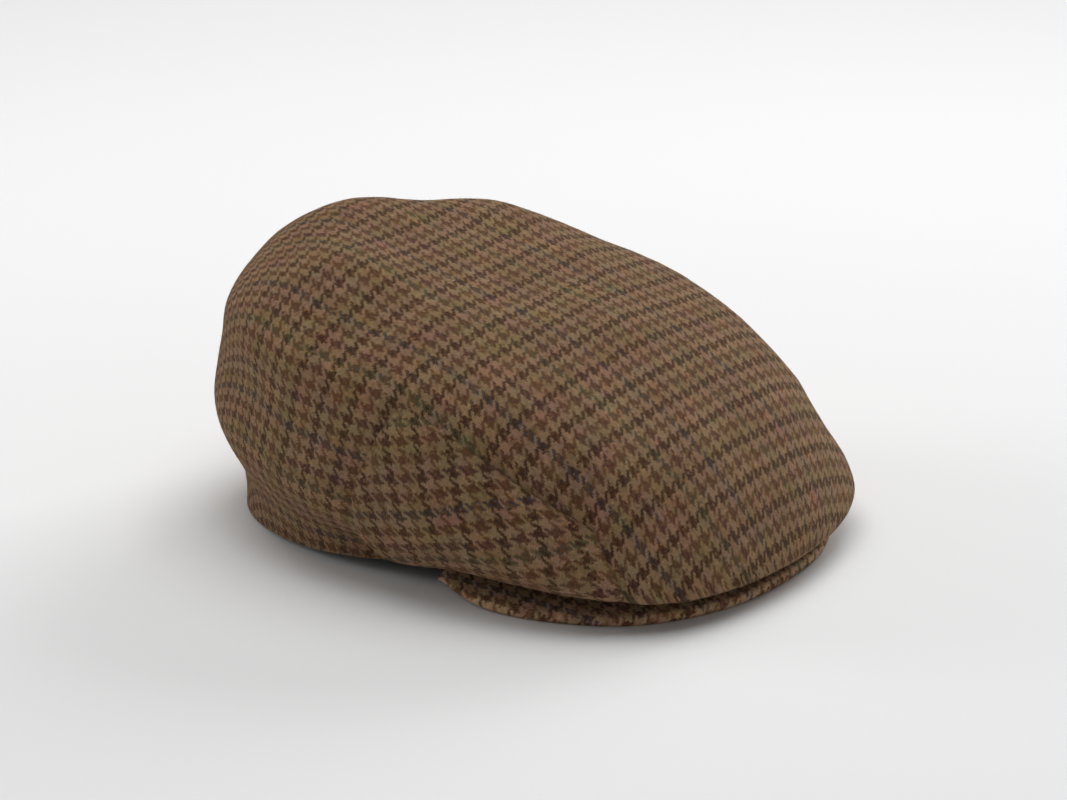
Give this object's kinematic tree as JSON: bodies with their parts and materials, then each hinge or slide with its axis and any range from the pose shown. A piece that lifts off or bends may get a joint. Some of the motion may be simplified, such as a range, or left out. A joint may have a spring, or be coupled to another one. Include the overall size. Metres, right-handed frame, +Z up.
{
  "type": "flat cap",
  "caption": "Soft flat cap in brown check tweed, with a side panel sewn into each side of its crown, which folds in at the head and comes forward as a lip over a stiff cloth-covered peak.",
  "frame": {"origin": "on the table under the middle of the whole cap", "axes": "+Z up, -Y to the front where the peak is, -X the wearer's right"},
  "size_m": [0.2114, 0.262, 0.1209],
  "materials": {
    "tweed": "brown check wool tweed, matt",
    "tweed_peak": "the same tweed over a stiff peak, matt"
  },
  "bodies": {
    "root": {"crown": "tweed", "side_panel_right": "tweed", "side_panel_left": "tweed", "peak": "tweed_peak"}
  },
  "joints": []
}
